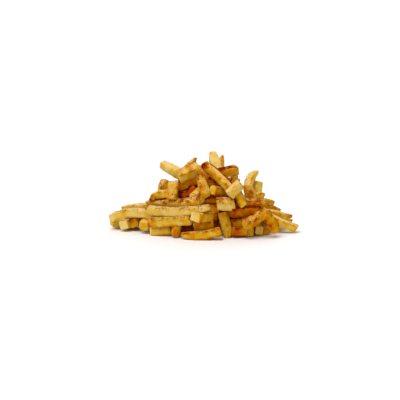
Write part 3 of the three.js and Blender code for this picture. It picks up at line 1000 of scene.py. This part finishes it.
def browning_with_noise(tree, patches, grains, grain):
    """The browning of each point, uneven in patches and speckled with fine grains."""
    uneven = product(tree, maths(tree, "SUBTRACT", patches, 0.5), UNEVEN)
    speckled = product(tree, maths(tree, "SUBTRACT", grains, 0.5), grain)
    total = maths(tree, "ADD", own_number(tree, "browning"), uneven)
    return maths(tree, "ADD", total, speckled, clamp=True)


def seasoned_and_sheened(tree, browning, salt_and_sheen_top, clumps):
    """The colour on the browning scale, with a pale bloom on the tops, partly salty dust and partly painted
    sheen of the light from above, and a dust of paprika.
    """
    salt_and_sheen_amount = product(tree, salt_and_sheen_top, SALT_AND_SHEEN_SHARE)
    under_salt_and_sheen = mixed(tree, salt_and_sheen_amount, browning_scale(tree, browning), colour(SALT_AND_SHEEN_COLOUR))
    clumped = mapped(tree, clumps, CLUMPS_FROM, CLUMPS_FULL)
    powder = product(tree, clumped, own_number(tree, "dusting"), POWDER)
    return mixed(tree, powder, under_salt_and_sheen, colour(PAPRIKA))


# %% The finish of fried potato
PATCH_SIZE, GRAIN_SIZE, CLUMP_SIZE = 5.0, 1.1, 1.6
OILY_FROM, OILY_FULL, DULLER = 0.3, 0.7, 0.25
CLUMP_HEIGHT = 0.6
BUMP_STRENGTH = 0.35
BUMP_DEPTH = 0.6
LETS_LIGHT_IN = 0.3
LIGHT_REACH = 3.0
LIGHT_COLOUR = (1.0, 0.45, 0.12)
GLEAMING = 0.01
OILED = 0.08
OIL_ROUGHNESS = 0.35


def fried_potato(name, grain, roughness):
    """The finish of one kind of fries: how speckled and how dull it is."""
    material, tree, shader = new_finish(name)
    where = add_node(tree, "ShaderNodeTexCoord").outputs["Object"]
    patches = noise_texture(tree, where, PATCH_SIZE, detail=3)
    grains = noise_texture(tree, where, GRAIN_SIZE, detail=4)
    clumps = noise_texture(tree, where, CLUMP_SIZE, detail=5)
    browning = browning_with_noise(tree, patches, grains, grain)

    normal = add_node(tree, "ShaderNodeNewGeometry").outputs["Normal"]
    upward = add_node(tree, "ShaderNodeSeparateXYZ", {"Vector": normal}).outputs["Z"]
    # Painted sheen: the faces that look up are painted paler, as light from above makes them, mixed with a
    # bloom of salt.
    pale = mapped(tree, browning, NO_SALT_OR_SHEEN_ABOVE, ALL_SALT_AND_SHEEN_BELOW)
    salt_and_sheen_top = product(tree, mapped(tree, upward, UPWARD_FROM, 1.0), pale)
    feed(tree, shader.inputs["Base Color"], seasoned_and_sheened(tree, browning, salt_and_sheen_top, clumps))
    feed(tree, shader.inputs["Coat Weight"], product(tree, salt_and_sheen_top, OILED))

    oily = mapped(tree, patches, OILY_FROM, OILY_FULL, roughness, roughness + DULLER)
    feed(tree, shader.inputs["Roughness"], oily)
    height = maths(tree, "ADD", grains, product(tree, clumps, CLUMP_HEIGHT))
    bump_inputs = {"Height": height, "Strength": BUMP_STRENGTH, "Distance": BUMP_DEPTH * MM}
    feed(tree, shader.inputs["Normal"], add_node(tree, "ShaderNodeBump", bump_inputs).outputs["Normal"])

    shader.inputs["Subsurface Weight"].default_value = LETS_LIGHT_IN
    shader.inputs["Subsurface Radius"].default_value = LIGHT_COLOUR
    shader.inputs["Subsurface Scale"].default_value = LIGHT_REACH * MM
    shader.inputs["Specular IOR Level"].default_value = GLEAMING
    shader.inputs["Coat Roughness"].default_value = OIL_ROUGHNESS
    return material


finishes = {
    "fries_pale": fried_potato("pale_potato", grain=0.2, roughness=0.38),
    "fries_golden": fried_potato("golden_potato", grain=0.26, roughness=0.4),
    "fries_browned": fried_potato("browned_potato", grain=0.3, roughness=0.44),
}
for name, piece in pieces.items():
    piece.data.materials.append(finishes[name])
core.data.materials.append(finishes["fries_browned"])
print("three finishes of potato:", ", ".join(finish.name for finish in finishes.values()))

# %% [markdown]
# ## Seasoning
#
# Paprika and ground pepper were shaken over the heap. The powder is in the material. The larger flecks are
# real small bodies, because one sees them stand on the fries from close by. A particle system could scatter
# them, but it would also put them under other fries. Here a straight ray goes up from each chosen spot, and
# only open spots get a fleck.

# %% Where seasoning lies
CLUSTER_SIZE = 6.0
CLUSTER_MEAN = 0.5
CLUSTER_POWER = 3


def surface_of(objects):
    """The triangles of several pieces, with how much seasoning each holds."""
    corners, weights = [], []
    for piece in objects:
        mesh = piece.data
        mesh.calc_loop_triangles()
        dust = np.empty(len(mesh.vertices), dtype=np.float32)
        mesh.attributes["dusting"].data.foreach_get("value", dust)
        index = np.array([triangle.vertices[:] for triangle in mesh.loop_triangles])
        places = np.array([vertex.co[:] for vertex in mesh.vertices])[index]
        area = np.linalg.norm(np.cross(places[:, 1] - places[:, 0], places[:, 2] - places[:, 0]), axis=1)
        corners.append(places)
        clusters = noise_at(places.mean(axis=1) / MM, CLUSTER_SIZE, 0.0)
        thick = np.clip(CLUSTER_MEAN + clusters, 0, 1) ** CLUSTER_POWER
        weights.append(area * thick * dust[index].mean(axis=1))
    return np.vstack(corners), np.concatenate(weights)


corners, weights = surface_of(pieces.values())
corner_list = [Vector(p) for p in corners.reshape(-1, 3)]
skin_tree = BVHTree.FromPolygons(corner_list, np.arange(len(corner_list)).reshape(-1, 3).tolist())
print("seasoning may fall on", len(corners), "triangles")

# %% The shape and finish of a fleck
FLECK_SIDES = 5
FLECK_POINTS = FLECK_SIDES + 2
FLECK_TOP, FLECK_FOOT = FLECK_SIDES, FLECK_SIDES + 1
FOLLOWING = [(i + 1) % FLECK_SIDES for i in range(FLECK_SIDES)]
FLECK_FACES = [(i, following, FLECK_TOP) for i, following in enumerate(FOLLOWING)]
FLECK_FACES += [(following, i, FLECK_FOOT) for i, following in enumerate(FOLLOWING)]
FLECK_UNEVEN = (0.6, 1.0)
FLECK_WIDE = (0.5, 1.0)
FLECK_TALL = (0.3, 0.6)
FLECK_SUNK = 0.3
MOTTLE_SIZE = 0.5
MOTTLED = 0.5


def fleck_points(dice, size):
    """A small uneven body: a rim of five corners, and a point above and one below."""
    turn = dice.uniform(0, 2 * math.pi) + np.arange(FLECK_SIDES) * 2 * math.pi / FLECK_SIDES
    reach = size * dice.uniform(*FLECK_UNEVEN, FLECK_SIDES)
    wide = np.sin(turn) * reach * dice.uniform(*FLECK_WIDE)
    rim = np.stack([np.cos(turn) * reach, wide, np.zeros(FLECK_SIDES)], axis=1)
    tips = np.array([[0, 0, size * dice.uniform(*FLECK_TALL)], [0, 0, -size * FLECK_SUNK]])
    return np.vstack([rim, tips])


def spice(name, code):
    """The finish of one kind of flecks, mottled a little with brown."""
    material, tree, shader = new_finish(name)
    where = add_node(tree, "ShaderNodeTexCoord").outputs["Object"]
    mottle = noise_texture(tree, where, MOTTLE_SIZE, detail=2)
    mottled = mixed(tree, product(tree, mottle, MOTTLED), colour(code), colour(BROWN))
    feed(tree, shader.inputs["Base Color"], mottled)
    shader.inputs["Roughness"].default_value = 0.7
    shader.inputs["Specular IOR Level"].default_value = 0.05
    return material


# %% Scatter the flecks
OPEN_ABOVE = 120 * MM
OFF_THE_SKIN = 0.2
SPOTS_PER_FLECK = 3


def scatter(name, count, size, code, dice):
    """Puts flecks on spots drawn by weight, apart from those that have something above them."""
    index = dice.choice(len(weights), size=SPOTS_PER_FLECK * count, p=weights / weights.sum())
    points, faces = [], []
    for triangle in corners[index]:
        if len(points) == count:
            break
        spot = Vector(dice.dirichlet((1, 1, 1)) @ triangle)
        normal = Vector(np.cross(triangle[1] - triangle[0], triangle[2] - triangle[0])).normalized()
        if skin_tree.ray_cast(spot + normal * OFF_THE_SKIN * MM, Vector((0, 0, 1)), OPEN_ABOVE)[0]:
            continue
        turned = normal.to_track_quat("Z", "Y").to_matrix()
        body = fleck_points(dice, dice.uniform(*size) * MM)
        faces += [tuple(FLECK_POINTS * len(points) + i for i in face) for face in FLECK_FACES]
        points.append([spot + turned @ Vector(p) for p in body])
    piece = new_piece(name, [p for body in points for p in body], faces)
    piece.data.materials.append(spice(name + "_finish", code))
    print(name, "holds", len(points), "flecks")
    return piece


flecks = [
    scatter("pepper_flecks", 2200, (0.34, 0.78), PEPPER, dice),
    scatter("paprika_flecks", 2600, (0.34, 0.8), PAPRIKA, dice),
]

# %% [markdown]
# ## What stands for what
#
# Every piece rides on the one body of the model, and the solid heap is hidden behind them.

# %% Tie the pieces to the model
potato_pieces = [*pieces.values(), core]
for piece in potato_pieces + flecks:
    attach(piece, "root")
for piece in potato_pieces:
    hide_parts("fries")
print(len(potato_pieces), "pieces stand for the solid heap, and", len(flecks), "are added to it")

# %% [markdown]
# ## Table, light and camera
#
# The heap lies on a plain white table that runs far back, in soft light: a very wide lamp from the upper
# left, a weaker one from the right, and an even sky. The camera looks down by 12 degrees from two metres
# away through a long lens, so that one millimetre of the heap is one point of a picture 400 points wide.

# %% The table
TABLE_WIDE = 16.0
TABLE_WHITE = 0.96

bpy.ops.mesh.primitive_plane_add(size=TABLE_WIDE)
table = bpy.context.object
table.name = "table_top"
white, _, white_shader = new_finish("white_table")
white_shader.inputs["Base Color"].default_value = (TABLE_WHITE, TABLE_WHITE, TABLE_WHITE, 1)
white_shader.inputs["Roughness"].default_value = 0.9
table.data.materials.append(white)
print("the table is", TABLE_WIDE, "m wide")

# %% Light
SKY = 0.42


def soft_lamp(name, azimuth, elevation, strength, spread):
    """A wide lamp far away. Azimuth 0 is the viewer's side, and turns to the right."""
    lamp = bpy.data.lights.new(name, "SUN")
    lamp.energy = strength
    lamp.angle = math.radians(spread)
    holder = bpy.data.objects.new(name, lamp)
    bpy.context.scene.collection.objects.link(holder)
    side, rise = math.radians(azimuth), math.radians(elevation)
    toward = Vector((math.sin(side) * math.cos(rise), -math.cos(side) * math.cos(rise), math.sin(rise)))
    holder.rotation_euler = toward.to_track_quat("Z", "Y").to_euler()
    print(name, "shines with a strength of", strength)


soft_lamp("main_light", azimuth=-30, elevation=62, strength=2.1, spread=40)
soft_lamp("back_light", azimuth=165, elevation=40, strength=0.5, spread=60)
world = bpy.data.worlds.new("sky")
world.use_nodes = True
sky = world.node_tree.nodes["Background"]
sky.inputs["Color"].default_value = (1, 1, 1, 1)
sky.inputs["Strength"].default_value = SKY
bpy.context.scene.world = world
bpy.context.scene.view_settings.view_transform = "Standard"

# %% Camera
FAR_AWAY = 2000.0
PICTURE_WIDE = 400.0
SENSOR = 36.0
PICTURE_MIDDLE = in_view(-3, 29.5, -20)
camera = bpy.data.objects.new("camera", bpy.data.cameras.new("camera"))
bpy.context.scene.collection.objects.link(camera)
camera.location = Vector((PICTURE_MIDDLE - INTO * FAR_AWAY) * MM)
camera.rotation_euler = Vector(-INTO).to_track_quat("Z", "Y").to_euler()
camera.data.sensor_width = SENSOR
camera.data.lens = SENSOR * FAR_AWAY / PICTURE_WIDE
camera.data.clip_end = 30.0
bpy.context.scene.camera = camera
print("the camera stands", FAR_AWAY, "mm away with a lens of", camera.data.lens, "mm")
